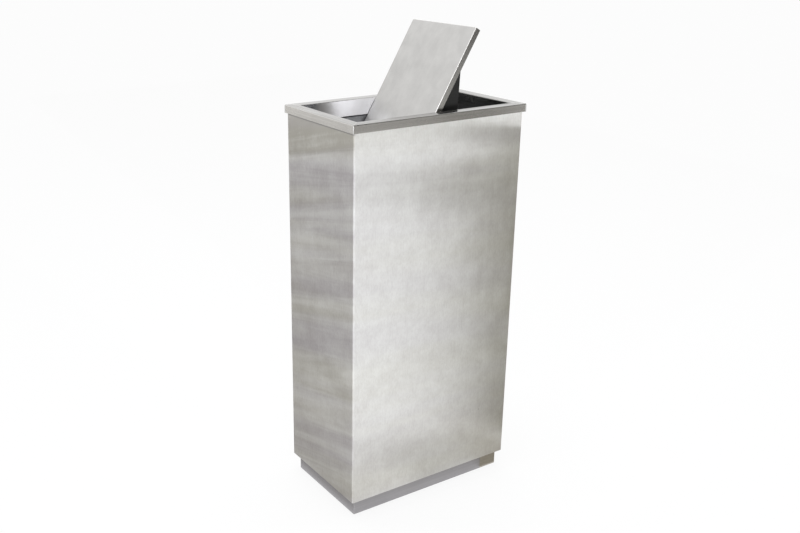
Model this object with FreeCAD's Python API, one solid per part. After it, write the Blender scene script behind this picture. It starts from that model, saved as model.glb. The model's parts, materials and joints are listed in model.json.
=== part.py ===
import FreeCAD, Part
import math
import os

# Flip-top bin of folded stainless sheet, in millimetres.
# The origin is on the floor under the middle of the bin. X runs along the wide front, Y from
# front to back and Z up. The flap is drawn as it rests, tipped on its stops, right end up.

# Overall size with the flap level
overall_width = 380.0
overall_depth = 230.0
rim_height = 760.0

# Sheet, fits and cuts
sheet = 1.0
sheet_fit = 0.2
fastener_fit = 0.05
running_fit = 0.05
rest_gap = 0.3
overrun = 5.0

# Rim frame of the lid: four mitred rails of channel section
rim_face = 21.0
rim_outer_skirt = 15.0
rim_overhang = 4.0
rim_bend = 1.6

# Body shell
body_bend = 3.0
body_top_flange = 9.0
body_bottom_flange = 25.0
back_flange = 15.0

# Plinth: two strips of channel section that butt together near the right end
plinth_height = 32.0
plinth_setback = 9.0
plinth_sheet = 1.2
plinth_flange = 20.0
plinth_bend = 2.4
plinth_seam_from_end = 41.0
plinth_seam_gap = 0.2

# Screws that hold the plinth under the body
plinth_screw_radius = 2.5
plinth_screw_head_radius = 4.5
plinth_screw_head_height = 2.6
plinth_screw_key = 3.0
plinth_screw_inset = 10.0
plinth_screw_from_seam = 31.0

# Push-in rubber feet
foot_stand = 2.0
foot_radius = 7.0
foot_stem_radius = 3.5
foot_barb_radius = 5.0
foot_barb_height = 2.5
foot_inset = 11.5
foot_from_end = 25.0

# Flap: a shallow tray with a triangular cheek set in behind each long lip
flap_side_gap = 1.0
flap_end_gap = 1.5
flap_lip = 11.0
flap_return = 5.0
flap_bend = 1.6
flap_tilt = 59.2
cheek_setback = 5.0
cheek_half_base = 96.0
cheek_angle = 27.9
cheek_nose = 8.0
cheek_flange = 12.0

# Pivot of the flap: shoulder pin, bush and nut at each side
pivot_depth = 5.5
pin_radius = 2.5
pin_thread_radius = 2.0
pin_head_radius = 3.6
pin_head_height = 2.2
pin_key = 2.5
bush_radius = 3.7
bush_flange_radius = 4.2
bush_stand = 0.4
nut_across_flats = 7.0
nut_height = 2.4
thread_stand = 0.3

# Pivot plates on the hidden side of the inner skirts
plate_sheet = 2.0
plate_half_length = 30.0
plate_corner = 4.0
plate_top_gap = 1.2
plate_edge = 5.0
plate_rivet_place = 21.0
plate_rivet_radius = 2.0
plate_rivet_head_radius = 3.5
plate_rivet_head_height = 0.8

# Stops: a screw with a rubber sleeve under each long lip
stop_screw_radius = 2.0
stop_head_radius = 3.6
stop_head_height = 2.2
stop_slot = 1.0
sleeve_radius = 4.0
sleeve_end_gap = 0.8
stop_edge = 6.4

# Galvanised liner: a trough bent from one sheet, with two flanged end walls
liner_sheet = 0.8
liner_bend = 2.4
liner_room = 4.0
liner_headroom = 3.0
liner_hem = 12.0
liner_flange = 14.0
liner_rivet_radius = 2.0
liner_rivet_head_radius = 3.5
liner_rivet_head_height = 1.0
liner_rivet_rows = 5
liner_rivet_end = 55.0

# Wire handles of the liner and the clips that hold them
handle_wire_radius = 2.5
handle_half_width = 50.0
handle_length = 52.0
handle_bend = 8.0
handle_drop = 26.0
handle_wall_gap = 1.0
clip_sheet = 1.0
clip_width = 10.0
clip_end_gap = 1.0
clip_tab = 9.0
clip_rivet_radius = 1.6
clip_rivet_head_radius = 2.9
clip_rivet_head_height = 0.9

# Rim frame
rim_half_x = overall_width / 2
rim_half_y = overall_depth / 2
mouth_half_x = rim_half_x - rim_face
mouth_half_y = rim_half_y - rim_face

# Flap and its pivot
flap_half_x = mouth_half_x - flap_end_gap
flap_half_y = mouth_half_y - flap_side_gap
pivot_height = rim_height - pivot_depth
cheek_outer_y = flap_half_y - cheek_setback
cheek_slope = math.tan(math.radians(cheek_angle))

# The tipped flap's lips rest on the sleeves straight under the pivot
stop_drop = (flap_lip - pivot_depth + sleeve_radius + rest_gap) / math.cos(math.radians(flap_tilt))
stop_height = pivot_height - stop_drop
skirt_bottom = stop_height - stop_edge
plate_outer_y = mouth_half_y + sheet + plate_sheet

# Body, under the rim frame
body_half_x = rim_half_x - rim_overhang
body_half_y = rim_half_y - rim_overhang
body_bottom = foot_stand + plinth_height
body_top = rim_height - sheet
floor_top = body_bottom + 2 * sheet

# Plinth
plinth_half_x = body_half_x - plinth_setback
plinth_half_y = body_half_y - plinth_setback
plinth_seam_x = plinth_half_x - plinth_seam_from_end

# Liner, which lifts out through the body's top flange
liner_half_x = body_half_x - body_top_flange - liner_room
liner_half_y = body_half_y - body_top_flange - liner_room
liner_top = skirt_bottom - liner_headroom
liner_wall_x = liner_half_x - liner_sheet
liner_wall_y = liner_half_y - liner_sheet
handle_axis_x = liner_wall_x - handle_wall_gap - handle_wire_radius
handle_axis_z = liner_top - handle_drop
clip_reach = handle_wire_radius + running_fit + clip_sheet
handle_end_y = handle_half_width + handle_bend + clip_end_gap + clip_width

ORIGIN = FreeCAD.Vector(0, 0, 0)
AXIS_X = FreeCAD.Vector(1, 0, 0)
AXIS_Y = FreeCAD.Vector(0, 1, 0)
AXIS_Z = FreeCAD.Vector(0, 0, 1)


def point(x, y, z):
    return FreeCAD.Vector(x, y, z)


def block(x, y, z):
    """Block between a low and a high value along each axis."""
    sizes = [high - low for low, high in (x, y, z)]
    return Part.makeBox(*sizes, point(x[0], y[0], z[0]))


def cylinder(radius, start, end):
    return Part.makeCylinder(radius, (end - start).Length, start, end - start)


def joined(shapes):
    return shapes[0].multiFuse(shapes[1:]).removeSplitter()


def turned(shape, degrees):
    """Copy turned about the bin's upright axis."""
    return shape.rotated(ORIGIN, AXIS_Z, degrees)


def rounded_upright(shape, radius):
    """Block with its upright edges rounded."""
    upright = [edge for edge in shape.Edges if abs(edge.tangentAt(edge.FirstParameter).z) > 0.5]
    return shape.makeFillet(radius, upright) if radius > 0 else shape


def bent_edges(corners, bend):
    """Edges of an open line whose corners are rounded by the bend radius."""
    edges = []
    start = corners[0]
    for before, corner, after in zip(corners, corners[1:], corners[2:]):
        back = (before - corner).normalize()
        ahead = (after - corner).normalize()
        half_turn = (math.pi - back.getAngle(ahead)) / 2
        first = corner + back * (bend * math.tan(half_turn))
        last = corner + ahead * (bend * math.tan(half_turn))
        middle = corner + (back + ahead).normalize() * (bend / math.cos(half_turn) - bend)
        edges.append(Part.LineSegment(start, first).toShape())
        if bend > 0:
            edges.append(Part.Arc(first, middle, last).toShape())
        start = last
    edges.append(Part.LineSegment(start, corners[-1]).toShape())
    return edges


def folded_section(corners, normal, thickness, bend):
    """Section of a folded sheet, drawn along its outer face with the sheet to the left.

    Left is as seen with normal pointing at the viewer, and every fold turns left.
    """
    ways = [(end - start).normalize() for start, end in zip(corners, corners[1:])]
    inner = []
    for corner, before, after in zip(corners, ways[:1] + ways, ways + ways[-1:]):
        left = normal.cross(before) + normal.cross(after)
        inner.append(corner + left * (thickness / (1 + before.dot(after))))
    outer_edges = bent_edges(corners, bend)
    inner_edges = bent_edges(inner, max(bend - thickness, 0))
    ends = [Part.LineSegment(corners[0], inner[0]).toShape(),
            Part.LineSegment(corners[-1], inner[-1]).toShape()]
    return Part.Face(Part.Wire(Part.__sortEdges__(outer_edges + inner_edges + ends)))


def hexagon(across_flats, centre, direction, height):
    """Hexagonal prism along Y."""
    corner = across_flats / math.sqrt(3)
    points = [centre + point(corner * math.cos(math.radians(turn)), 0, corner * math.sin(math.radians(turn)))
              for turn in range(0, 361, 60)]
    return Part.Face(Part.makePolygon(points)).extrude(direction * height)


def domed_head(radius, height, base, direction):
    """Low dome on a flat face, standing out from base along direction."""
    ball_radius = (radius ** 2 + height ** 2) / (2 * height)
    ball = Part.makeSphere(ball_radius, base + direction * (height - ball_radius), direction)
    return ball.common(cylinder(radius, base, base + direction * height))


def rivet(shank_radius, head_radius, head_height, outer, inner):
    """Rivet with a domed head at each end, through sheets between outer and inner."""
    way = (outer - inner).normalize()
    return joined([cylinder(shank_radius, inner, outer),
                   domed_head(head_radius, head_height, outer, way),
                   domed_head(head_radius, head_height, inner, -way)])


# Plinth screws and feet: their places are shared by every sheet they pass through
def plinth_screw_places():
    side_y = plinth_half_y - plinth_screw_inset
    end_x = plinth_half_x - plinth_screw_inset
    pitch = plinth_seam_x - plinth_screw_from_seam
    long_sides = [(step * pitch, side * side_y) for side in (-1, 1) for step in (-1, 0, 1)]
    return long_sides + [(side * end_x, 0) for side in (-1, 1)]


def plinth_screw_holes():
    radius = plinth_screw_radius + fastener_fit
    low = foot_stand + plinth_height - plinth_sheet - overrun
    return Part.makeCompound([cylinder(radius, point(x, y, low), point(x, y, floor_top + overrun))
                              for x, y in plinth_screw_places()])


def foot_places():
    x = plinth_half_x - foot_from_end
    y = plinth_half_y - foot_inset
    return [(x * side, y * end) for side in (-1, 1) for end in (-1, 1)]


# Body shell: front and sides in one bent sheet, a flanged back panel and a loose-laid floor
def flange_plate(width, height):
    """Flat flange turned in all round the body at one height, with its middle open."""
    plate = rounded_upright(block((-body_half_x, body_half_x), (-body_half_y, body_half_y),
                                  (height, height + sheet)), body_bend)
    open_x = body_half_x - width
    open_y = body_half_y - width
    opening = block((-open_x, open_x), (-open_y, open_y), (height - overrun, height + sheet + overrun))
    return plate.cut(opening)


def body_flanges():
    return ((body_top_flange, body_top - sheet), (body_bottom_flange, body_bottom))


def body_wrap():
    back_y = body_half_y - sheet
    flange_x = body_half_x - back_flange
    outline = [(-flange_x, back_y), (-body_half_x, back_y), (-body_half_x, -body_half_y),
               (body_half_x, -body_half_y), (body_half_x, back_y), (flange_x, back_y)]
    corners = [point(x, y, body_bottom) for x, y in outline]
    walls = folded_section(corners, AXIS_Z, sheet, body_bend).extrude(AXIS_Z * (body_top - body_bottom))
    pieces = [walls]
    for width, height in body_flanges():
        room = block((width - body_half_x, body_half_x - width), (back_y - width, body_half_y + overrun),
                     (height - sheet_fit, height + sheet + sheet_fit))
        pieces[0] = pieces[0].cut(room)
        behind = block((-overall_width, overall_width), (back_y - sheet, overall_depth),
                       (height - overrun, height + sheet + overrun))
        pieces.append(flange_plate(width, height).cut(room).cut(behind))
    return joined(pieces).cut(plinth_screw_holes())


def back_panel():
    panel = block((-body_half_x, body_half_x), (body_half_y - sheet, body_half_y), (body_bottom, body_top))
    pieces = [panel]
    for width, height in body_flanges():
        reach = body_half_x - width - sheet_fit
        pieces.append(block((-reach, reach), (body_half_y - width, body_half_y), (height, height + sheet)))
    return joined(pieces).cut(plinth_screw_holes())


def body_floor():
    side = body_half_x - sheet - sheet_fit
    front = body_half_y - sheet - sheet_fit
    plate = block((-side, side), (-front, front - sheet), (floor_top - sheet, floor_top))
    return rounded_upright(plate, body_bend).cut(plinth_screw_holes())


# Plinth
def plinth_ring():
    low = foot_stand
    high = foot_stand + plinth_height

    def ring(inset, bottom, top):
        outer = rounded_upright(block((-plinth_half_x, plinth_half_x), (-plinth_half_y, plinth_half_y),
                                      (bottom, top)), plinth_bend)
        open_x = plinth_half_x - inset
        open_y = plinth_half_y - inset
        return outer.cut(block((-open_x, open_x), (-open_y, open_y), (bottom - overrun, top + overrun)))

    channel = joined([ring(plinth_sheet, low, high), ring(plinth_flange, low, low + plinth_sheet),
                      ring(plinth_flange, high - plinth_sheet, high)])
    stem_radius = foot_stem_radius + fastener_fit
    stems = [cylinder(stem_radius, point(x, y, low - overrun), point(x, y, low + overrun))
             for x, y in foot_places()]
    return channel.cut(plinth_screw_holes()).cut(Part.makeCompound(stems))


def plinth_strip(low_x, high_x):
    """Stretch of the plinth between two values of X."""
    stretch = block((low_x, high_x), (-overall_depth, overall_depth), (-overrun, rim_height))
    return plinth_ring().common(stretch)


def plinth_screws():
    """Screws put in from below, with domed heads keyed by a hexagon and ends flush with the floor."""
    seat = body_bottom - plinth_sheet
    key = hexagon(plinth_screw_key, ORIGIN, AXIS_Y, overrun).rotated(ORIGIN, AXIS_X, -90)
    screws = []
    for x, y in plinth_screw_places():
        head = domed_head(plinth_screw_head_radius, plinth_screw_head_height, point(x, y, seat), -AXIS_Z)
        shank = cylinder(plinth_screw_radius, point(x, y, seat), point(x, y, floor_top))
        recess = key.translated(point(x, y, seat - plinth_screw_head_height / 2))
        screws.append(joined([head, shank]).cut(recess))
    return Part.makeCompound(screws)


def foot_pads():
    feet = []
    for x, y in foot_places():
        seat = point(x, y, foot_stand)
        barb_seat = point(x, y, foot_stand + plinth_sheet)
        feet.append(joined([
            cylinder(foot_radius, point(x, y, 0), seat),
            cylinder(foot_stem_radius, seat, barb_seat),
            Part.makeCone(foot_barb_radius, foot_stem_radius, foot_barb_height, barb_seat, AXIS_Z)]))
    return Part.makeCompound(feet)


# Rim frame: each rail is drawn at the front, then turned to its side
def rim_rail(half_run, half_offset):
    """Mitred rail of length 2 half_run, with its outer face half_offset in front of the middle."""
    inner = rim_face - half_offset
    corners = [point(-half_run, inner, skirt_bottom), point(-half_run, inner, rim_height),
               point(-half_run, -half_offset, rim_height),
               point(-half_run, -half_offset, rim_height - rim_outer_skirt)]
    bar = folded_section(corners, AXIS_X, sheet, rim_bend).extrude(AXIS_X * (2 * half_run))
    mitre = [point(-half_run, -half_offset, 0), point(half_run, -half_offset, 0),
             point(half_run - rim_face, inner, 0), point(rim_face - half_run, inner, 0)]
    wedge = Part.Face(Part.makePolygon(mitre + mitre[:1])).extrude(AXIS_Z * (rim_height + overrun))
    return bar.common(wedge)


def plate_rivet_places():
    """Places of one plate's rivets along X, and their height midway between pivot and stop."""
    return [(side * plate_rivet_place, (pivot_height + stop_height) / 2) for side in (-1, 1)]


def hardware_holes(front_y, back_y):
    """Holes of pivot, stop and rivets through everything at the front between two values of Y."""
    holes = [(0, pivot_height, pin_thread_radius), (0, stop_height, stop_screw_radius)]
    holes += [(x, z, plate_rivet_radius) for x, z in plate_rivet_places()]
    return Part.makeCompound([cylinder(radius + fastener_fit, point(x, front_y, z), point(x, back_y, z))
                              for x, z, radius in holes])


def front_rail():
    return rim_rail(rim_half_x, rim_half_y).cut(hardware_holes(-plate_outer_y, -flap_half_y))


def side_rail():
    return rim_rail(rim_half_y, rim_half_x)


# Pivot hardware, drawn at the front
def pivot_plate():
    plate = block((-plate_half_length, plate_half_length), (-plate_outer_y, -mouth_half_y - sheet),
                  (stop_height - plate_edge, rim_height - sheet - plate_top_gap))
    corners = [edge for edge in plate.Edges if abs(edge.tangentAt(edge.FirstParameter).y) > 0.5]
    plate = plate.makeFillet(plate_corner, corners)
    return plate.cut(hardware_holes(-plate_outer_y - overrun, -mouth_half_y))


def plate_rivets():
    """Rivets filed flush on the mouth side of the skirt, with a domed head behind the plate."""
    rivets = []
    for x, z in plate_rivet_places():
        seat = point(x, -plate_outer_y, z)
        shank = cylinder(plate_rivet_radius, seat, point(x, -mouth_half_y, z))
        head = domed_head(plate_rivet_head_radius, plate_rivet_head_height, seat, -AXIS_Y)
        rivets.append(joined([shank, head]))
    return Part.makeCompound(rivets + [turned(each, 180) for each in rivets])


def bush_inner_y():
    return -(cheek_outer_y - sheet - bush_stand)


def pivot_pin():
    """Shoulder pin put in from inside the flap, with its thread through rail and plate."""
    centre = point(0, 0, pivot_height)
    head_seat = bush_inner_y() + rest_gap
    head_base = centre + AXIS_Y * head_seat
    head = cylinder(pin_head_radius, head_base, head_base + AXIS_Y * pin_head_height)
    shoulder = cylinder(pin_radius, centre - AXIS_Y * mouth_half_y, head_base)
    end_y = plate_outer_y + nut_height + thread_stand
    thread = cylinder(pin_thread_radius, centre - AXIS_Y * end_y, centre - AXIS_Y * mouth_half_y)
    key = hexagon(pin_key, head_base + AXIS_Y * (pin_head_height / 2), AXIS_Y, pin_head_height)
    return joined([head, shoulder, thread]).cut(key)


def pivot_nuts():
    centre = point(0, -plate_outer_y, pivot_height)
    nut = hexagon(nut_across_flats, centre, -AXIS_Y, nut_height)
    bore_radius = pin_thread_radius + fastener_fit
    nut = nut.cut(cylinder(bore_radius, centre + AXIS_Y * overrun, centre - AXIS_Y * overrun))
    return Part.makeCompound([nut, turned(nut, 180)])


def sleeve_inner_y():
    return -(cheek_outer_y + sleeve_end_gap)


def stop_screw():
    centre = point(0, 0, stop_height)
    head = domed_head(stop_head_radius, stop_head_height, centre - AXIS_Y * plate_outer_y, -AXIS_Y)
    slot_y = plate_outer_y + stop_head_height / 2
    slot = block((-stop_head_radius, stop_head_radius), (-slot_y - overrun, -slot_y),
                 (stop_height - stop_slot / 2, stop_height + stop_slot / 2))
    shank = cylinder(stop_screw_radius, centre - AXIS_Y * plate_outer_y, centre + AXIS_Y * sleeve_inner_y())
    return joined([head, shank]).cut(slot)


def stop_sleeve():
    centre = point(0, 0, stop_height)
    tube = cylinder(sleeve_radius, centre - AXIS_Y * mouth_half_y, centre + AXIS_Y * sleeve_inner_y())
    bore_radius = stop_screw_radius + fastener_fit
    return tube.cut(cylinder(bore_radius, centre - AXIS_Y * (mouth_half_y + overrun), centre))


# Flap, drawn level about its pivot and then tipped
def tipped(shape):
    return shape.rotated(ORIGIN, AXIS_Y, -flap_tilt).translated(AXIS_Z * pivot_height)


def bush_hole():
    radius = bush_radius + fastener_fit
    return cylinder(radius, AXIS_Y * -overall_depth, AXIS_Y * overall_depth)


def tray_block(inset, low, high, bend):
    """Block inside the flap's outline, with its top and upright edges rounded."""
    half_x = flap_half_x - inset
    half_y = flap_half_y - inset
    solid = block((-half_x, half_x), (-half_y, half_y), (low, high))
    edges = [edge for edge in solid.Edges if edge.BoundBox.ZMax > (low + high) / 2]
    return solid.makeFillet(bend, edges) if bend > 0 else solid


def flap_panel():
    low = pivot_depth - flap_lip
    tray = tray_block(0, low, pivot_depth, flap_bend)
    hollow = tray_block(sheet, low + sheet, pivot_depth - sheet, max(flap_bend - sheet, 0))
    mouth_x = flap_half_x - flap_return
    mouth_y = flap_half_y - sheet
    mouth = block((-mouth_x, mouth_x), (-mouth_y, mouth_y), (low - overrun, low + 2 * sheet))
    return tray.cut(hollow).cut(mouth).cut(bush_hole())


def flap_cheek():
    """Front cheek: a triangle with a rounded nose and a flange welded under the flap's skin."""
    top = pivot_depth - sheet
    half_top = cheek_half_base + (flap_lip - sheet) / cheek_slope
    nose = pivot_depth - flap_lip - cheek_half_base * cheek_slope
    corners = [point(-half_top, -cheek_outer_y, top), point(0, -cheek_outer_y, nose),
               point(half_top, -cheek_outer_y, top)]
    outline = bent_edges(corners, cheek_nose) + [Part.LineSegment(corners[2], corners[0]).toShape()]
    web = Part.Face(Part.Wire(outline)).extrude(AXIS_Y * sheet)
    flange = block((-half_top + cheek_flange, half_top - cheek_flange),
                   (-cheek_outer_y, cheek_flange - cheek_outer_y), (top - sheet, top))
    head_room = cylinder(pin_head_radius + rest_gap, AXIS_Y * (sheet - cheek_outer_y), ORIGIN)
    return joined([web, flange.cut(head_room)]).cut(bush_hole())


def pivot_bush():
    start = -flap_half_y
    flange_y = -mouth_half_y + rest_gap
    barrel = cylinder(bush_radius, AXIS_Y * start, AXIS_Y * bush_inner_y())
    flange = cylinder(bush_flange_radius, AXIS_Y * flange_y, AXIS_Y * start)
    bore = cylinder(pin_radius + running_fit, AXIS_Y * -overall_depth, AXIS_Y * overall_depth)
    return joined([barrel, flange]).cut(bore)


# Liner
def liner_rivet_places():
    """Places of the corner rivets along X and Z."""
    low = floor_top + liner_rivet_end
    step = (liner_top - liner_rivet_end - low) / (liner_rivet_rows - 1)
    x = liner_half_x - liner_flange / 2
    return [(side * x, low + row * step) for side in (-1, 1) for row in range(liner_rivet_rows)]


def liner_rivet_holes():
    return Part.makeCompound([cylinder(liner_rivet_radius + fastener_fit, point(x, -overall_depth, z),
                                       point(x, overall_depth, z)) for x, z in liner_rivet_places()])


def liner_trough():
    outline = [(-liner_half_y, liner_top), (-liner_half_y, floor_top),
               (liner_half_y, floor_top), (liner_half_y, liner_top)]
    corners = [point(-liner_half_x, y, z) for y, z in outline]
    trough = folded_section(corners, AXIS_X, liner_sheet, liner_bend).extrude(AXIS_X * (2 * liner_half_x))
    hem = block((-liner_half_x, liner_half_x), (-liner_half_y - liner_sheet, -liner_half_y),
                (liner_top - liner_hem, liner_top))
    return joined([trough, hem, turned(hem, 180)]).cut(liner_rivet_holes())


def clip_rivet_places():
    """Places of one end's clip rivets along Y and Z."""
    y = handle_end_y - clip_width / 2
    reach = clip_reach + clip_tab / 2
    return [(side * y, handle_axis_z + end * reach) for side in (-1, 1) for end in (-1, 1)]


def liner_end():
    """Right end wall, flanged in along both sides and the bottom, inside the trough."""
    front = liner_wall_y - sheet_fit
    low = floor_top + liner_sheet + sheet_fit
    inner_x = liner_half_x - liner_flange
    wall = block((liner_wall_x, liner_half_x), (-front, front), (low, liner_top))
    foot = [edge for edge in wall.Edges
            if abs(edge.tangentAt(edge.FirstParameter).x) > 0.5 and edge.BoundBox.ZMax < liner_top / 2]
    wall = wall.makeFillet(liner_bend, foot)
    foot_y = front - liner_flange
    side = block((inner_x, liner_half_x), (-front, liner_sheet - front), (low + liner_flange, liner_top))
    bottom = block((inner_x, liner_half_x), (-foot_y, foot_y), (low, low + liner_sheet))
    hem = block((liner_half_x, liner_half_x + liner_sheet), (-front, front),
                (liner_top - liner_hem, liner_top))
    rivets = [cylinder(clip_rivet_radius + fastener_fit, point(0, y, z), point(overall_width, y, z))
              for y, z in clip_rivet_places()]
    folded = joined([wall, side, side.mirror(ORIGIN, AXIS_Y), bottom, hem])
    return folded.cut(liner_rivet_holes()).cut(Part.makeCompound(rivets))


def liner_rivets():
    inner = -(liner_wall_y - sheet_fit - liner_sheet)
    rivets = [rivet(liner_rivet_radius, liner_rivet_head_radius, liner_rivet_head_height,
                    point(x, -liner_half_y, z), point(x, inner, z)) for x, z in liner_rivet_places()]
    return Part.makeCompound(rivets + [turned(each, 180) for each in rivets])


# Handles and clips, drawn at the right end
def handle_clips():
    clips = []
    for side in (-1, 1):
        outer_y = side * handle_end_y
        inner_y = outer_y - side * clip_width
        low_y, high_y = sorted((outer_y, inner_y))

        def saddle(radius, past):
            round_part = cylinder(radius, point(handle_axis_x, low_y - past, handle_axis_z),
                                  point(handle_axis_x, high_y + past, handle_axis_z))
            legs = block((handle_axis_x, liner_wall_x + past), (low_y - past, high_y + past),
                         (handle_axis_z - radius, handle_axis_z + radius))
            return joined([round_part, legs])

        tabs = block((liner_wall_x - clip_sheet, liner_wall_x), (low_y, high_y),
                     (handle_axis_z - clip_reach - clip_tab, handle_axis_z + clip_reach + clip_tab))
        clip = joined([saddle(clip_reach, 0), tabs]).cut(saddle(handle_wire_radius + running_fit, overrun))
        holes = [cylinder(clip_rivet_radius + fastener_fit, point(0, y, z), point(overall_width, y, z))
                 for y, z in clip_rivet_places()]
        clips.append(clip.cut(Part.makeCompound(holes)))
    return Part.makeCompound(clips)


def clip_rivets():
    rivets = [rivet(clip_rivet_radius, clip_rivet_head_radius, clip_rivet_head_height,
                    point(liner_half_x, y, z), point(liner_wall_x - clip_sheet, y, z))
              for y, z in clip_rivet_places()]
    return Part.makeCompound(rivets + [turned(each, 180) for each in rivets])


def liner_handle():
    """Wire bail hanging from its clips against the end wall."""
    def bail(y, z):
        return point(handle_axis_x, y, handle_axis_z + z)

    corners = [bail(-handle_end_y, 0), bail(-handle_half_width, 0), bail(-handle_half_width, -handle_length),
               bail(handle_half_width, -handle_length), bail(handle_half_width, 0), bail(handle_end_y, 0)]
    path = Part.Wire(bent_edges(corners, handle_bend))
    ring = Part.Wire(Part.makeCircle(handle_wire_radius, corners[0], AXIS_Y))
    return path.makePipeShell([ring], True, False)


def parts():
    front = front_rail()
    side = side_rail()
    plate = pivot_plate()
    pin = pivot_pin()
    screw = stop_screw()
    sleeve = stop_sleeve()
    cheek = flap_cheek()
    bush = pivot_bush()
    end = liner_end()
    clips = handle_clips()
    handle = liner_handle()
    seam = plinth_seam_gap / 2
    return {
        "body_wrap": body_wrap(),
        "back_panel": back_panel(),
        "body_floor": body_floor(),
        "plinth_left": plinth_strip(-overall_width, plinth_seam_x - seam),
        "plinth_right": plinth_strip(plinth_seam_x + seam, overall_width),
        "plinth_screws": plinth_screws(),
        "foot_pads": foot_pads(),
        "rim_front_rail": front,
        "rim_back_rail": turned(front, 180),
        "rim_right_rail": turned(side, 90),
        "rim_left_rail": turned(side, -90),
        "pivot_plate_front": plate,
        "pivot_plate_back": turned(plate, 180),
        "plate_rivets": plate_rivets(),
        "pivot_pin_front": pin,
        "pivot_pin_back": turned(pin, 180),
        "pivot_nuts": pivot_nuts(),
        "stop_screw_front": screw,
        "stop_screw_back": turned(screw, 180),
        "stop_sleeve_front": sleeve,
        "stop_sleeve_back": turned(sleeve, 180),
        "flap_panel": tipped(flap_panel()),
        "flap_cheek_front": tipped(cheek),
        "flap_cheek_back": tipped(turned(cheek, 180)),
        "pivot_bush_front": tipped(bush),
        "pivot_bush_back": tipped(turned(bush, 180)),
        "liner_trough": liner_trough(),
        "liner_end_right": end,
        "liner_end_left": turned(end, 180),
        "liner_rivets": liner_rivets(),
        "handle_clips_right": clips,
        "handle_clips_left": turned(clips, 180),
        "clip_rivets": clip_rivets(),
        "liner_handle_right": handle,
        "liner_handle_left": turned(handle, 180),
    }


os.makedirs("parts", exist_ok=True)
for name, shape in parts().items():
    shape.exportStep("parts/" + name + ".step")
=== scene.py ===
import json
import math

import bmesh
import bpy
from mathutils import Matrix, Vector


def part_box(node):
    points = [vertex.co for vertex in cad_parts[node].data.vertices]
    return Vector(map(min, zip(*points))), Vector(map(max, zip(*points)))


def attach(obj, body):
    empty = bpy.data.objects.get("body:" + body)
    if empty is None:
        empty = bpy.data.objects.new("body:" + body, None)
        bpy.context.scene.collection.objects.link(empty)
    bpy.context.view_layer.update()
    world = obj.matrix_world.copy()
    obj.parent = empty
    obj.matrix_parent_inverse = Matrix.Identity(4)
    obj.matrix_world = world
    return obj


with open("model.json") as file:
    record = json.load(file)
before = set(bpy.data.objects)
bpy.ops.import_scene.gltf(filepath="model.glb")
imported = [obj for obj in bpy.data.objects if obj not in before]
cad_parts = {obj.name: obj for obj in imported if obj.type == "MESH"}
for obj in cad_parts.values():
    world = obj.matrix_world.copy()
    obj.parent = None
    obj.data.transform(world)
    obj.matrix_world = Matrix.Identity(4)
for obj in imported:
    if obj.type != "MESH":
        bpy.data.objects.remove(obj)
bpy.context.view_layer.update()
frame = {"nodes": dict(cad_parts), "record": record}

# Camera: stands to the left of the bin's near corner and above its rim, and is held without roll.
# The picture is cut a little to the right of the line of sight, which the small shift repeats.
picture_width = 800
focal_length_pixels = 964.7
sight_line_pixel = 341.8
camera_place = (-1.0493, -1.4268, 1.0742)
camera_pitch = 19.65
camera_yaw = 32.527
lens = bpy.data.cameras.new("camera")
lens.sensor_width = 36.0
lens.lens = focal_length_pixels * lens.sensor_width / picture_width
lens.shift_x = 0.5 - sight_line_pixel / picture_width
camera = bpy.data.objects.new("camera", lens)
camera.location = camera_place
camera.rotation_euler = (math.radians(90 - camera_pitch), 0, math.radians(-camera_yaw))
bpy.context.scene.collection.objects.link(camera)
bpy.context.scene.camera = camera
bpy.context.scene.view_settings.view_transform = "Standard"


# Studio: a plain white floor that runs into a white surround, lit softly from all sides. The floor is
# mostly its own white to the eye and in the metal, and keeps a faint shadow. Grey boards and cloths
# stand and lie round the bin and show only in its metal.
class Wire:
    """One socket among a material's nodes. Sums on it add Math nodes; node() adds any other."""

    def __init__(self, tree, socket=None):
        self.tree = tree
        self.socket = socket

    def node(self, kind, settings=None, sockets=None, out=0):
        made = self.tree.nodes.new("ShaderNode" + kind)
        for name, value in (settings or {}).items():
            setattr(made, name, value)
        for name, value in (sockets or {}).items():
            if isinstance(value, Wire):
                self.tree.links.new(value.socket, made.inputs[name])
            else:
                made.inputs[name].default_value = value
        return Wire(self.tree, made.outputs[out])

    def feed(self, node, name):
        self.tree.links.new(self.socket, node.inputs[name])

    def math(self, operation, first, second=0.0):
        return self.node("Math", {"operation": operation}, {0: first, 1: second})

    def __add__(self, other):
        return self.math("ADD", self, other)

    def __radd__(self, other):
        return self.math("ADD", other, self)

    def __sub__(self, other):
        return self.math("SUBTRACT", self, other)

    def __rsub__(self, other):
        return self.math("SUBTRACT", other, self)

    def __mul__(self, other):
        return self.math("MULTIPLY", self, other)

    def __rmul__(self, other):
        return self.math("MULTIPLY", other, self)

    def most(self, other):
        return self.math("MAXIMUM", self, other)

    def size(self):
        return self.math("ABSOLUTE", self)

    def between(self, low, high):
        """Runs smoothly from 0 at low to 1 at high."""
        return self.node("MapRange", {"interpolation_type": "SMOOTHSTEP"},
                         {"Value": self, "From Min": low, "From Max": high})

    def mix(self, low, high):
        """Colour that goes from low to high as this value goes from 0 to 1."""
        return self.node("Mix", {"data_type": "RGBA"}, {0: self, 6: low, 7: high}, 2)

    def part(self, axis):
        """One axis of a place or direction."""
        return self.node("SeparateXYZ", {}, {0: self}, axis)

    def stretch(self, x, y, z):
        return self.node("VectorMath", {"operation": "MULTIPLY"}, {0: self, 1: (x, y, z)})

    def shift(self, other):
        return self.node("VectorMath", {"operation": "ADD"}, {0: self, 1: other})


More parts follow.
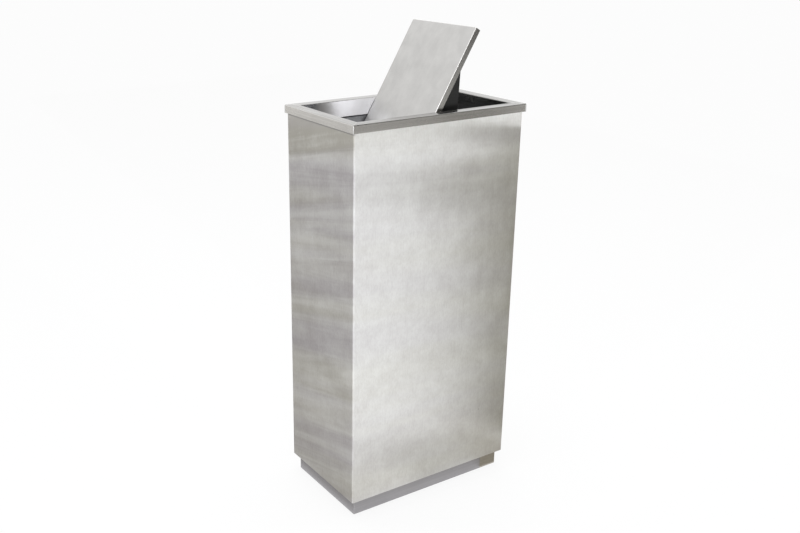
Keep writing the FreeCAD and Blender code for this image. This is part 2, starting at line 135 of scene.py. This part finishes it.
def seen_directly(tree):
    """1 for what the eye, a mirror or glass sees of the studio, 0 for the light it gives."""
    path = Wire(tree).node("LightPath", out="Is Camera Ray")
    glossy = Wire(tree, path.socket.node.outputs["Is Glossy Ray"])
    through = Wire(tree, path.socket.node.outputs["Is Transmission Ray"])
    return path.most(glossy).most(through)


studio_white = (1.0, 1.0, 1.0, 1.0)
surround_light = 0.85
world = bpy.data.worlds.new("studio_surround")
bpy.context.scene.world = world
world.use_nodes = True
surround = world.node_tree.nodes["Background"]
surround.inputs["Color"].default_value = studio_white
seen = seen_directly(world.node_tree)
(seen + (1 - seen) * surround_light).feed(surround, "Strength")

floor_half = 30.0
floor_own_white = 0.86
floor_tone = (0.95, 0.95, 0.95, 1.0)
floor_dullness = 0.8
floor_corners = [(-floor_half, -floor_half, 0), (floor_half, -floor_half, 0),
                 (floor_half, floor_half, 0), (-floor_half, floor_half, 0)]
floor_mesh = bpy.data.meshes.new("studio_floor")
floor_mesh.from_pydata(floor_corners, [], [(0, 1, 2, 3)])
floor = bpy.data.objects.new("studio_floor", floor_mesh)
bpy.context.scene.collection.objects.link(floor)
floor_paint = bpy.data.materials.new("floor_paint")
floor_paint.use_nodes = True
paint = floor_paint.node_tree.nodes["Principled BSDF"]
paint.inputs["Base Color"].default_value = floor_tone
paint.inputs["Roughness"].default_value = floor_dullness
root = Wire(floor_paint.node_tree)
glow = root.node("Emission", {}, {"Color": studio_white, "Strength": 1.0})
blend = root.node("MixShader", {}, {0: seen_directly(floor_paint.node_tree) * floor_own_white,
                                    1: Wire(root.tree, paint.outputs[0]), 2: glow})
blend.feed(floor_paint.node_tree.nodes["Material Output"], "Surface")
floor_mesh.materials.append(floor_paint)


def softbox(name, place, target, size, power, tone):
    lamp = bpy.data.lights.new(name, "AREA")
    lamp.shape = "SQUARE"
    lamp.size = size
    lamp.energy = power
    lamp.color = tone
    box = bpy.data.objects.new(name, lamp)
    box.location = place
    box.rotation_euler = (Vector(target) - Vector(place)).to_track_quat("-Z", "Y").to_euler()
    bpy.context.scene.collection.objects.link(box)


bin_middle = (0.0, 0.0, 0.45)
softbox("key_softbox", place=(-1.6, -2.4, 1.7), target=bin_middle, size=1.2, power=18.0,
        tone=(0.93, 0.94, 1.0))
softbox("top_softbox", place=(0.0, 0.4, 2.6), target=bin_middle, size=1.6, power=16.0,
        tone=(0.95, 0.96, 1.0))


def flag(name, corners, tone):
    """Grey cloth that only shows in the metal, as a studio darkens one side of a bright sheet."""
    mesh = bpy.data.meshes.new(name)
    mesh.from_pydata(corners, [], [tuple(range(len(corners)))])
    cloth = bpy.data.objects.new(name, mesh)
    bpy.context.scene.collection.objects.link(cloth)
    dye = bpy.data.materials.new(name)
    dye.use_nodes = True
    dye.node_tree.nodes.remove(dye.node_tree.nodes["Principled BSDF"])
    glow = Wire(dye.node_tree).node("Emission", {}, {"Color": tone, "Strength": 1.0})
    glow.feed(dye.node_tree.nodes["Material Output"], "Surface")
    mesh.materials.append(dye)
    for kind in ("camera", "diffuse", "transmission", "volume_scatter", "shadow"):
        setattr(cloth, "visible_" + kind, False)


# The boards stand just past the bin's right end, square to its front and back, and their outlines say
# how far out and how high each corner is. For the cloths on the floor it is how far along and out.
board_x = 0.26
board_near, board_far = 0.103, 0.38
board_low, board_shoulder, board_top = 0.018, 0.585, 0.69
board_bend = (0.27, 0.648)
board_outline = [(board_near, board_low), (board_far, board_low), (board_far, board_shoulder),
                 (0.31, 0.612), board_bend, (board_near, board_top)]
wing_outline = [(board_far, 0.465), (0.56, 0.445), (0.56, 0.5), (0.46, 0.55), (board_far, board_shoulder)]
visor_outline = [(0.44, 0.628), (0.44, 0.66), (0.3, 0.682), (board_near, 0.706),
                 (board_near, board_top), board_bend]
boards = [("board", board_outline, (0.262, 0.248, 0.202, 1.0)),
          ("wing", wing_outline, (0.36, 0.35, 0.31, 1.0)),
          ("visor", visor_outline, (0.31, 0.296, 0.268, 1.0))]

cloth_lift = 0.004
under_lift = cloth_lift / 2
cloth_half = 0.5
cloth_near, cloth_far, fade_far = 0.13, 0.305, 0.38
end_outline = [(0.137, board_near), (0.2, board_far), (board_x, board_far), (board_x, board_near)]
floor_shadow_outline = [(-cloth_half, cloth_near), (-cloth_half, cloth_far),
                 (cloth_half, cloth_far), (cloth_half, cloth_near)]
shadow_fade_outline = [(-cloth_half, cloth_far), (-cloth_half, fade_far),
                (cloth_half, fade_far), (cloth_half, cloth_far)]
foot_outline = [(-0.02, cloth_near), (0.0, 0.29), (0.2, 0.29), (0.14, cloth_near)]
# The floor and fade cloths are painted shadow: they stand for the bin's own shadow on the floor in front
# of it and behind it, as the metal sees it, darker by the bin and paler further out.
cloths = [("end_cloth", end_outline, cloth_lift, (0.44, 0.42, 0.37, 1.0)),
          ("floor_cloth", floor_shadow_outline, under_lift, (0.75, 0.74, 0.72, 1.0)),
          ("shadow_fade_cloth", shadow_fade_outline, under_lift, (0.88, 0.875, 0.86, 1.0)),
          ("foot_cloth", foot_outline, cloth_lift, (0.58, 0.57, 0.54, 1.0))]
for side, way in (("front", -1), ("back", 1)):
    for name, outline, tone in boards:
        flag(side + "_" + name, [(board_x, way * out, height) for out, height in outline], tone)
    for name, outline, lift, tone in cloths:
        flag(side + "_" + name, [(along, way * out, lift) for along, out in outline], tone)

side_outline = [(0.187, -0.1), (0.187, 0.3), (0.6, 5.0), (2.9, 5.0), (2.9, 0.8)]
side_tone = (0.44, 0.425, 0.405, 1.0)
for side, way in (("left", -1), ("right", 1)):
    flag(side + "_floor_cloth", [(way * out, back, cloth_lift) for out, back in side_outline], side_tone)

wall_y = -2.6
wall_left, wall_right = 0.3, 4.5
wall_low, wall_high = 0.4, 4.5
wall_tone = (0.06, 0.057, 0.054, 1.0)
flag("front_wall_cloth", [(wall_left, wall_y, wall_low), (wall_right, wall_y, wall_low),
                          (wall_right, wall_y, wall_high), (wall_left, wall_y, wall_high)], wall_tone)


# Plinth: two folded channel strips of stainless sheet, left in the mill's dull finish with its
# rolling marks lying level. They are screwed up under the body and butt together on the front,
# and the short strip is coloured warmer and a little lighter.
def new_finish(name, settings):
    """Material whose shader has these constant settings, with its object-space place."""
    finish = bpy.data.materials.new(name)
    finish.use_nodes = True
    shader = finish.node_tree.nodes["Principled BSDF"]
    for socket, value in settings.items():
        shader.inputs[socket].default_value = value
    place = Wire(finish.node_tree).node("TexCoord", out="Object")
    return finish, shader, place


def noise(place, scale, detail=2.0, roughness=0.5, bend=0.0):
    return place.node("TexNoise", {}, {"Vector": place, "Scale": scale, "Detail": detail,
                                       "Roughness": roughness, "Distortion": bend})


def rough_height(shader, height, depth):
    height.node("Bump", {}, {"Height": height, "Distance": depth}).feed(shader, "Normal")


def dress(finish, *nodes):
    for name in nodes:
        for slot in frame["nodes"][name].material_slots:
            slot.material = finish


rolling_marks = (4, 4, 420)
rolling_depth = 0.00004


def mill_finish(name, dark, light, dullness=0.34):
    finish, shader, place = new_finish(name, {"Metallic": 1.0})
    rolling = noise(place.stretch(*rolling_marks), 1.0, 3.0)
    cloud = noise(place, 9.0, 4.0)
    tone = rolling * 0.6 + cloud * 0.4
    tone.mix(dark, light).feed(shader, "Base Color")
    (dullness + 0.16 * cloud).feed(shader, "Roughness")
    rough_height(shader, rolling, rolling_depth)
    return finish


long_strip_dark, long_strip_light = (0.3, 0.292, 0.302, 1.0), (0.553, 0.542, 0.556, 1.0)
long_strip_dullness = 0.52
short_strip_dark, short_strip_light = (0.41, 0.385, 0.345, 1.0), (0.54, 0.51, 0.46, 1.0)
long_strip = mill_finish("long_plinth_finish", long_strip_dark, long_strip_light, long_strip_dullness)
short_strip = mill_finish("short_plinth_finish", short_strip_dark, short_strip_light)
dress(long_strip, "plinth_left")
dress(short_strip, "plinth_right")


# Feet: four small pads that carry the bin and spare the floor. They are moulded in black rubber
# and pushed into holes of the plinth's lower flange.
rubber_black, rubber_dusty = (0.012, 0.012, 0.012, 1.0), (0.05, 0.05, 0.05, 1.0)
rubber_grain_depth = 0.00008


def rubber_finish():
    finish, shader, place = new_finish("black_rubber", {"Metallic": 0.0})
    dust = noise(place, 220.0, 4.0)
    dust.mix(rubber_black, rubber_dusty).feed(shader, "Base Color")
    (0.65 + 0.2 * dust).feed(shader, "Roughness")
    rough_height(shader, dust, rubber_grain_depth)
    return finish


rubber = rubber_finish()
dress(rubber, "foot_pads")


# Screws: eight domed steel screws with a hexagon key, bright with zinc. They go up through the
# plinth and the body's lower flange and hold the floor sheet down.
zinc_dark, zinc_light = (0.42, 0.42, 0.43, 1.0), (0.66, 0.66, 0.66, 1.0)
zinc_scratch_depth = 0.00003


def fastener_finish():
    finish, shader, place = new_finish("fastener_steel", {"Metallic": 1.0})
    scratch = noise(place, 900.0, 3.0)
    scratch.mix(zinc_dark, zinc_light).feed(shader, "Base Color")
    (0.22 + 0.2 * scratch).feed(shader, "Roughness")
    rough_height(shader, scratch, zinc_scratch_depth)
    return finish


fastener_steel = fastener_finish()
dress(fastener_steel, "plinth_screws")


# Body: front and sides bent from one brushed stainless sheet, closed by a flanged back panel that is
# spot welded on, with a loose floor. The brush ran upright; the rolls that flattened the sheet left
# soft bands that lie nearly level, and handling left clouds. The bands and their tint are partly
# painted reflection of the sheet's waviness, stronger on the ends and under the rim. The ends are also
# painted darker under the rim as painted shade, with a thin painted shadow line just below the skirt.
roll_lean = (0.06, 0.24, 1.0)
roll_marks = 26.0
roll_start = 0.0304
hair_marks = (900, 900, 24)
streak_marks = (130, 130, 5)
grain_marks = (300, 300, 140)
cloud_marks = (7, 7, 9)
# Tints of the level bands, which are partly painted reflection.
purple_dark, olive_dark = (0.63, 0.604, 0.635, 1.0), (0.635, 0.622, 0.57, 1.0)
cool_light, warm_light = (0.978, 0.988, 0.99, 1.0), (0.988, 0.994, 0.966, 1.0)
# Height band and colour of a painted shadow line under the rim's skirt on the ends.
shadow_line_foot, shadow_line_top = 0.7403, 0.7425
shadow_line_tone = (0.4, 0.395, 0.385, 1.0)
hair_depth, dent_depth = 0.00001, 0.0006


def brushed_upright(name):
    finish, shader, place = new_finish(name, {"Metallic": 1.0, "Anisotropic": 0.92})
    sideways = place.node("TexCoord", out="Normal").part("X").size()
    height = place.part("Z")
    sheen_under_rim = height.between(0.5, 0.72)
    level = place.node("VectorMath", {"operation": "DOT_PRODUCT"}, {0: place, 1: roll_lean}, "Value")
    rise = level.node("CombineXYZ", {}, {"Z": (level + roll_start) * roll_marks})
    rolled = place.stretch(2.0, 2.0, 0.0).shift(rise)
    hair = noise(place.stretch(*hair_marks), 1.0, 3.0, 0.6)
    streak = noise(place.stretch(*streak_marks), 1.0, 3.0)
    band_and_sheen = noise(rolled, 1.0, 4.0, 0.55, 0.6)
    tint = noise(rolled.shift((7.0, 3.0, 5.0)), 0.6, 2.0)
    cloud = noise(place.stretch(*cloud_marks), 1.0, 5.0, 0.55, 0.8)
    mottle = noise(place, 36.0, 6.0, 0.62)
    grain = noise(place.stretch(*grain_marks), 1.0, 3.0, 0.7)
    # The level bands are partly the sheet's own roll marks and partly a painted reflection of its slight
    # waviness, painted stronger under the rim and strongest on the ends.
    marks = (band_and_sheen.between(0.3, 0.7) - 0.5) * (0.05 + 0.2 * sheen_under_rim + 0.6 * sideways)
    marks = marks + (cloud.between(0.3, 0.7) - 0.5) * 0.2 + (mottle.between(0.3, 0.7) - 0.5) * 0.2
    marks = marks + (grain.between(0.25, 0.75) - 0.5) * 0.22
    marks = marks + (streak.between(0.3, 0.7) - 0.5) * 0.05 + (hair.between(0.25, 0.75) - 0.5) * 0.12
    # Painted shade: the ends are painted darker towards the top, under the rim.
    tone = 0.58 + marks - 0.6 * sideways * height.between(0.6, 0.76)
    # Their purple and olive tint, stronger on the ends, is partly the same painted reflection.
    hue = tint.between(0.35, 0.65) * (0.5 + 0.5 * sideways) + 0.3 * (1 - sideways)
    sheet = tone.mix(hue.mix(purple_dark, olive_dark), hue.mix(cool_light, warm_light))
    # Painted shadow: a thin dark line on the ends just under the rim's skirt.
    painted_shadow_line = sideways * height.between(shadow_line_foot, shadow_line_top)
    painted_shadow_line.mix(sheet, shadow_line_tone).feed(shader, "Base Color")
    (0.21 + 0.12 * cloud + 0.08 * streak).feed(shader, "Roughness")
    rough_height(shader, hair * hair_depth + cloud * dent_depth, 1.0)
    return finish


body_brushed_painted_light = brushed_upright("body_brushed_painted_light")
dress(body_brushed_painted_light, "body_wrap", "back_panel", "body_floor")

weld_spot_radius = 0.0032
weld_spot_height = 0.0002
weld_spot_middle = 0.45
weld_spot_profile = [(0.45, 0.4), (0.68, 1.0), (0.86, 0.9), (1.0, 0.0)]
weld_spot_inset = 0.0085
weld_spot_rows = 10
weld_spot_turns = 24
spots = bmesh.new()


def weld_spot_ring(centre, radius, rise):
    """One ring of a spot weld's dimple on the back, rise above the sheet."""
    angles = [turn * math.tau / weld_spot_turns for turn in range(weld_spot_turns)]
    return [spots.verts.new(centre + Vector((radius * math.cos(angle), rise, radius * math.sin(angle))))
            for angle in angles]


panel_low, panel_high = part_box("back_panel")
row_step = (panel_high[2] - panel_low[2]) / weld_spot_rows
for side_x in (panel_low[0] + weld_spot_inset, panel_high[0] - weld_spot_inset):
    for row in range(weld_spot_rows):
        centre = Vector((side_x, panel_high[1], panel_low[2] + (row + 0.5) * row_step))
        rings = [weld_spot_ring(centre, weld_spot_radius * out, weld_spot_height * rise)
                 for out, rise in weld_spot_profile]
        middle = spots.verts.new(centre + Vector((0, weld_spot_height * weld_spot_middle, 0)))
        for turn in range(weld_spot_turns):
            after = (turn + 1) % weld_spot_turns
            spots.faces.new((middle, rings[0][after], rings[0][turn]))
            for inner, outer in zip(rings, rings[1:]):
                spots.faces.new((inner[turn], inner[after], outer[after], outer[turn]))
        spots.faces.new(rings[-1])
bmesh.ops.recalc_face_normals(spots, faces=spots.faces)
spot_mesh = bpy.data.meshes.new("back_spot_welds")
spots.to_mesh(spot_mesh)
spots.free()
for face in spot_mesh.polygons:
    face.use_smooth = len(face.vertices) < weld_spot_turns
spot_welds = bpy.data.objects.new("back_spot_welds", spot_mesh)
bpy.context.scene.collection.objects.link(spot_welds)
spot_mesh.materials.append(fastener_steel)
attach(spot_welds, "casing")


# Liner: a trough and two flanged end walls of galvanised sheet, riveted at the corners, with clips
# for the handles riveted on. Zinc crystals show as flat patches of differing grey.
crystal_dark, crystal_light = (0.22, 0.225, 0.235, 1.0), (0.46, 0.465, 0.48, 1.0)
crystals_per_metre = 90.0
crystal_depth = 0.00003


def galvanised_finish():
    finish, shader, place = new_finish("galvanised_sheet", {"Metallic": 0.6})
    spangle = place.node("TexVoronoi", {"feature": "F1"},
                         {"Vector": place, "Scale": crystals_per_metre}, "Color")
    patch = spangle.node("SeparateColor", {}, {0: spangle})
    grime = noise(place, 14.0, 4.0)
    tone = patch * 0.6 + grime * 0.4
    tone.mix(crystal_dark, crystal_light).feed(shader, "Base Color")
    (0.34 + 0.2 * patch).feed(shader, "Roughness")
    rough_height(shader, patch, crystal_depth)
    return finish


dress(galvanised_finish(), "liner_trough", "liner_end_left", "liner_end_right")
dress(fastener_steel, "liner_rivets", "clip_rivets", "handle_clips_left", "handle_clips_right")


# Handles: two bails of drawn steel wire, bright zinc plated, that hang in clips on the end walls
# and fold up to lift the liner out.
wire_dark, wire_light = (0.46, 0.465, 0.48, 1.0), (0.68, 0.685, 0.7, 1.0)
drawing_marks = (500, 60, 500)
drawing_depth = 0.00002


def wire_finish():
    finish, shader, place = new_finish("zinc_wire", {"Metallic": 1.0})
    drawn = noise(place.stretch(*drawing_marks), 1.0, 3.0)
    bloom = noise(place, 60.0, 3.0)
    tone = drawn * 0.5 + bloom * 0.5
    tone.mix(wire_dark, wire_light).feed(shader, "Base Color")
    (0.26 + 0.18 * bloom).feed(shader, "Roughness")
    rough_height(shader, drawn, drawing_depth)
    return finish


dress(wire_finish(), "liner_handle_left", "liner_handle_right")


# Rim frame: four mitred channel rails of the same sheet, brushed along their length; on the front and
# left rails what they mirror is drawn out up and down. The mitres are welded and polished.
along_x = (8, 900, 900)
along_y = (900, 8, 900)
streak_share = 1 / 6


def brush_along(place, along, dark, light, mottled=0.0):
    """Tone of fine scratches one way over a sheet; along has a small number on that axis."""
    hair = noise(place.stretch(*along), 1.0, 3.0, 0.6)
    streak = noise(place.stretch(*[scratch * streak_share for scratch in along]), 1.0, 3.0)
    cloud = noise(place, 11.0, 4.0)
    mottle = noise(place, 36.0, 6.0, 0.62)
    brushed = hair * 0.35 + streak * 0.3 + cloud * 0.35
    return (brushed * (1 - mottled) + mottle * mottled).between(0.2, 0.8).mix(dark, light)


def rail_finish(name, along, drawn_out, top_tones, skirt_tones, satin=0.2):
    finish, shader, place = new_finish(name, {"Metallic": 1.0, "Anisotropic": drawn_out,
                                              "Anisotropic Rotation": 0.25})
    on_top = place.node("TexCoord", out="Normal").part("Z").between(0.2, 0.9)
    top = brush_along(place, along, *top_tones)
    skirt = brush_along(place, along, *skirt_tones)
    on_top.mix(skirt, top).feed(shader, "Base Color")
    (satin + 0.12 * noise(place, 11.0, 4.0)).feed(shader, "Roughness")
    return finish


def steel(tone, spread=0.13, blue=0.955):
    """Darkest and lightest colour of a brushed sheet about one level of grey, a little warm or blue."""
    green = (2 + min(blue, 1)) / 3
    return [(level, green * level, blue * level, 1.0) for level in (tone - spread / 2, tone + spread / 2)]


# Each rail's top and skirt have their own tones, set lighter or darker as painted light: the left rail's
# skirt is painted lighter than its top, and the back rail's skirts are painted a bluish near white as a
# painted reflection of the light from above.
back_rail = rail_finish("back_rail_satin_painted_light", along_x, 0.0, steel(0.45), steel(0.88, 0.06, 1.03), satin=0.05)
front_rail = rail_finish("front_rail_brushed_painted_light", along_x, 0.8, steel(0.43), steel(0.43, 0.22, 0.91))
left_rail = rail_finish("left_rail_brushed_painted_light", along_y, 0.8, steel(0.49), steel(0.78, 0.3))
right_rail = rail_finish("right_rail_satin_painted_light", along_y, 0.0, steel(0.47), steel(0.43))
dress(front_rail, "rim_front_rail")
dress(left_rail, "rim_left_rail")
dress(back_rail, "rim_back_rail", "plate_rivets")
dress(right_rail, "rim_right_rail")

weld_dark, weld_light = (0.55, 0.545, 0.53, 1.0), (0.68, 0.675, 0.66, 1.0)


def weld_finish():
    finish, shader, place = new_finish("polished_weld", {"Metallic": 1.0})
    ripple = noise(place, 700.0, 2.0)
    ripple.mix(weld_dark, weld_light).feed(shader, "Base Color")
    (0.24 + 0.14 * ripple).feed(shader, "Roughness")
    return finish


weld_radius = 0.0012
outer_skirt = 0.015
rail_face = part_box("rim_left_rail")[1][0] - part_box("rim_left_rail")[0][0]
rim_low, rim_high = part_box("rim_front_rail")[0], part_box("rim_back_rail")[1]
rim_top = rim_high[2]
rim_corners = [(rim_low[0], rim_low[1]), (rim_high[0], rim_low[1]),
               (rim_high[0], rim_high[1]), (rim_low[0], rim_high[1])]
weld_line = [(weld_radius / 2, rim_top - outer_skirt, 1.0),
             (weld_radius / 2, rim_top - 2 * weld_radius, 1.0),
             (weld_radius, rim_top - weld_radius, 0.8),
             (2 * weld_radius, rim_top - weld_radius / 4, 0.4),
             (rail_face - weld_radius, rim_top - weld_radius / 4, 0.4)]
polished_weld = weld_finish()
for corner, (outer_x, outer_y) in enumerate(rim_corners):
    bead = bpy.data.curves.new("rim_mitre_weld_%d" % (corner + 1), "CURVE")
    bead.dimensions = "3D"
    bead.bevel_depth = weld_radius
    bead.bevel_resolution = 3
    bead.use_fill_caps = True
    run = bead.splines.new("POLY")
    run.points.add(len(weld_line) - 1)
    for spot, (inset, height, share) in zip(run.points, weld_line):
        spot_x = outer_x - math.copysign(inset, outer_x)
        spot_y = outer_y - math.copysign(inset, outer_y)
        spot.co = (spot_x, spot_y, height, 1.0)
        spot.radius = share
    weld = bpy.data.objects.new(bead.name, bead)
    bpy.context.scene.collection.objects.link(weld)
    bead.materials.append(polished_weld)
    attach(weld, "lid")


# Pivot plates: doublers of mill-finish sheet, riveted behind the long skirts. They carry the steel
# pins that the flap turns on, with their nuts, and the rubber-sleeved screws that stop it.
plate_dark, plate_light = (0.30, 0.30, 0.31, 1.0), (0.42, 0.42, 0.43, 1.0)
dress(mill_finish("plate_mill_finish", plate_dark, plate_light), "pivot_plate_front", "pivot_plate_back")
dress(fastener_steel, "pivot_pin_front", "pivot_pin_back", "pivot_nuts",
      "stop_screw_front", "stop_screw_back")
dress(rubber, "stop_sleeve_front", "stop_sleeve_back")


# Flap: a shallow tray of brushed sheet whose grain runs along its length, with a painted highlight on
# its bends, its front lip painted darker as painted shade, and its far side left duller. A triangular
# cheek of mill-finish sheet, painted near black as painted shade, is welded in at each long side.
flap_face_tones = steel(0.585, 0.14, 0.965)
# Darker tone of the front lip: painted shade on a face of the same sheet.
flap_lip_shade_tones = steel(0.39, 0.1, 0.92)
# Light tone of the painted highlight on the flap's bends.
painted_edge_highlight_tone = steel(0.74)[1]
far_side_start, far_side_end = 0.0, 0.07


def bends(facing):
    """1 on the rounded bends of a folded sheet, 0 on its flat faces."""
    squarest = 0.0
    for axis in "XYZ":
        squarest = facing.part(axis).size().most(squarest)
    return (1 - squarest).between(0.02, 0.15)


def flap_finish(swing):
    finish, shader, place = new_finish("flap_brushed_painted_light", {"Metallic": 1.0})
    tipped_by = math.radians(swing["range_deg"][1] - swing["range_deg"][0]) / 2

    def levelled(way, centre):
        return way.node("VectorRotate", {"rotation_type": "Y_AXIS"},
                        {"Vector": way, "Center": centre, "Angle": tipped_by})

    flat = levelled(place, swing["pos_m"])
    facing = levelled(place.node("TexCoord", out="Normal"), (0.0, 0.0, 0.0))
    lip = facing.part("Y").between(-0.7, -0.98)
    # Painted highlight: the bends get a light tone and less roughness, so the folded edges shine.
    highlight_bends = bends(facing)
    face_tone = brush_along(flat, along_x, *flap_face_tones, mottled=0.6)
    # Painted shade: the front lip is painted darker than the face.
    sheet = lip.mix(face_tone, brush_along(flat, along_x, *flap_lip_shade_tones))
    highlight_bends.mix(sheet, painted_edge_highlight_tone).feed(shader, "Base Color")
    far_side = flat.part("Y").between(far_side_start, far_side_end)
    gloss = 0.2 * lip + 0.14 * highlight_bends - 0.16 * far_side
    (0.42 + 0.08 * noise(flat, 11.0, 4.0) - gloss).feed(shader, "Roughness")
    return finish


joints = frame["record"]["behaviour"]["joints"]
flap_swing = next(joint for joint in joints if joint["name"] == "flap_swing")
dress(flap_finish(flap_swing), "flap_panel")
# Painted shade: the steel cheeks are painted near black for the shade they sit in under the flap.
cheek_shade_dark, cheek_shade_light = (0.036, 0.036, 0.037, 1.0), (0.078, 0.078, 0.076, 1.0)
dress(mill_finish("cheek_painted_shade", cheek_shade_dark, cheek_shade_light), "flap_cheek_front", "flap_cheek_back")


# Bushes: flanged bushes of natural nylon, pressed into lip and cheek, in which the flap turns
# quietly on its pins.
nylon_dark, nylon_light = (0.70, 0.68, 0.62, 1.0), (0.80, 0.79, 0.74, 1.0)


def nylon_finish():
    finish, shader, place = new_finish("natural_nylon", {"Metallic": 0.0})
    haze = noise(place, 400.0, 3.0)
    haze.mix(nylon_dark, nylon_light).feed(shader, "Base Color")
    (0.4 + 0.15 * haze).feed(shader, "Roughness")
    return finish


dress(nylon_finish(), "pivot_bush_front", "pivot_bush_back")
